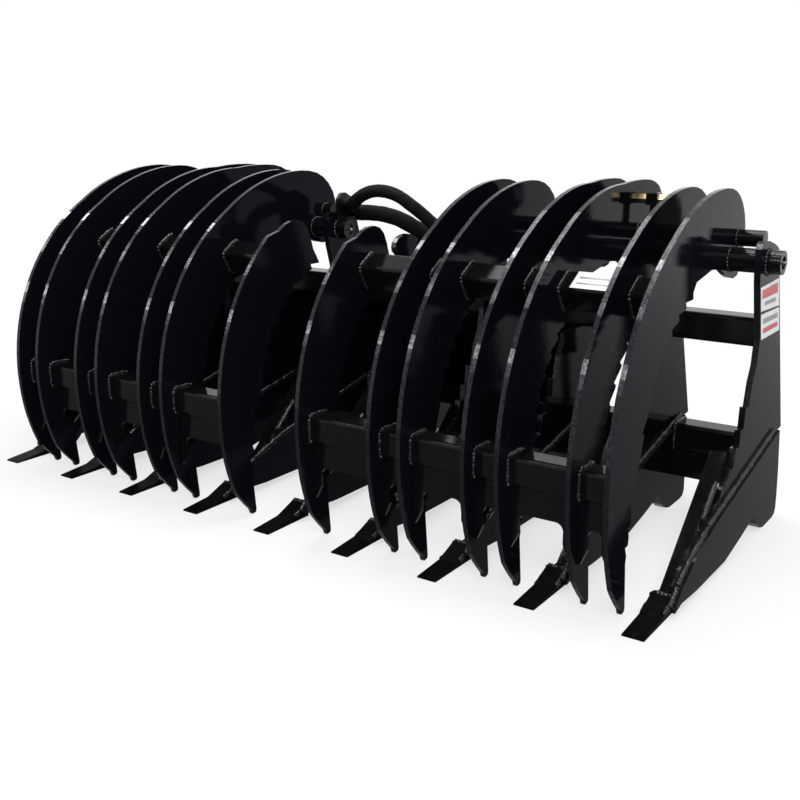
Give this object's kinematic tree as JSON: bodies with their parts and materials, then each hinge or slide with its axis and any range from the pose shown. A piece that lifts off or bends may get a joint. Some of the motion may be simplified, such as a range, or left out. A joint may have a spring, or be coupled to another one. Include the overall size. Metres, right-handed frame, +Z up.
{
  "type": "grapple bucket",
  "caption": "Skid steer root grapple with a wide row of chisel tines and two saw-edged crescent lids that open separately on hydraulic cylinders.",
  "frame": {"origin": "centre of the whole part's footprint, on the ground", "axes": "+Z up, +X along the pivots to the right side, +Y to the back, towards the carrier"},
  "size_m": [2.258, 1.1074, 0.918],
  "materials": {
    "black_paint": "gloss",
    "pin_steel": "satin",
    "chrome_rod": "polished",
    "bronze": "machined",
    "brass_plug": "machined",
    "hose_sleeve": "matte woven"
  },
  "bodies": {
    "frame": {"side_plate_left": "black_paint", "side_plate_right": "black_paint", "inner_upright_left": "black_paint", "inner_upright_right": "black_paint", "tine_uprights": "black_paint", "heel_plates": "black_paint", "tine_bars": "black_paint", "tine_chisels": "black_paint", "mid_cross_tube": "black_paint", "lower_cross_tube": "black_paint", "lower_lip_plate": "black_paint", "attach_plate": "black_paint", "attach_top_lip": "black_paint", "attach_bottom_flange": "black_paint", "attach_ribs": "black_paint", "anchor_lugs_left": "black_paint", "anchor_lugs_right": "black_paint", "pivot_bosses": "black_paint", "pivot_pins_left": "black_paint", "pivot_pins_right": "black_paint", "grease_fittings": "pin_steel", "hose_outer": "hose_sleeve", "hose_inner": "hose_sleeve", "hose_fittings": "pin_steel"},
    "lid_left": {"outer_pair_left": "black_paint", "lever_pair_left": "black_paint", "inner_pair_left": "black_paint", "single_plate_left": "black_paint", "lower_front_tube_left": "black_paint", "upper_front_tube_left": "black_paint", "web_plates_left": "black_paint", "round_tube_left": "black_paint", "hub_tube_left": "black_paint", "hub_bushes_left": "bronze", "lever_pin_left": "pin_steel", "port_block_left": "black_paint", "brass_plugs_left": "brass_plug"},
    "cylinder_left": {"cylinder_barrel_left": "black_paint", "cylinder_gland_left": "black_paint"},
    "rod_left": {"piston_rod_left": "chrome_rod", "piston_left": "pin_steel", "anchor_pin_left": "pin_steel"},
    "lid_right": {"outer_pair_right": "black_paint", "lever_pair_right": "black_paint", "inner_pair_right": "black_paint", "single_plate_right": "black_paint", "lower_front_tube_right": "black_paint", "upper_front_tube_right": "black_paint", "web_plates_right": "black_paint", "round_tube_right": "black_paint", "hub_tube_right": "black_paint", "hub_bushes_right": "bronze", "lever_pin_right": "pin_steel", "port_block_right": "black_paint", "brass_plugs_right": "brass_plug"},
    "cylinder_right": {"cylinder_barrel_right": "black_paint", "cylinder_gland_right": "black_paint"},
    "rod_right": {"piston_rod_right": "chrome_rod", "piston_right": "pin_steel", "anchor_pin_right": "pin_steel"}
  },
  "joints": [
    {"name": "lid_hinge_left", "type": "hinge", "parent": "frame", "child": "lid_left", "pos_m": [-0.65, 0.14345, 0.735], "axis": [-1, 0, 0], "range_deg": [0, 60]},
    {"name": "cylinder_pivot_left", "type": "hinge", "parent": "lid_left", "child": "cylinder_left", "pos_m": [-0.642, 0.29545, 0.858], "axis": [1, 0, 0], "range_deg": [0, 60.35]},
    {"name": "rod_slide_left", "type": "slide", "parent": "cylinder_left", "child": "rod_left", "axis": [0, 0.1723, -0.985], "range_m": [-0.1956, 0]},
    {"name": "lid_hinge_right", "type": "hinge", "parent": "frame", "child": "lid_right", "pos_m": [0.65, 0.14345, 0.735], "axis": [-1, 0, 0], "range_deg": [0, 60]},
    {"name": "cylinder_pivot_right", "type": "hinge", "parent": "lid_right", "child": "cylinder_right", "pos_m": [0.678, 0.29545, 0.858], "axis": [1, 0, 0], "range_deg": [0, 60.35]},
    {"name": "rod_slide_right", "type": "slide", "parent": "cylinder_right", "child": "rod_right", "axis": [0, 0.1723, -0.985], "range_m": [-0.1956, 0]}
  ],
  "couplings": [
    {"joint": "cylinder_pivot_left", "follows": "lid_hinge_left", "ratio": 1.0055},
    {"joint": "rod_slide_left", "follows": "lid_hinge_left", "m_per_rad": -0.18669},
    {"joint": "cylinder_pivot_right", "follows": "lid_hinge_right", "ratio": 1.0055},
    {"joint": "rod_slide_right", "follows": "lid_hinge_right", "m_per_rad": -0.18669}
  ]
}
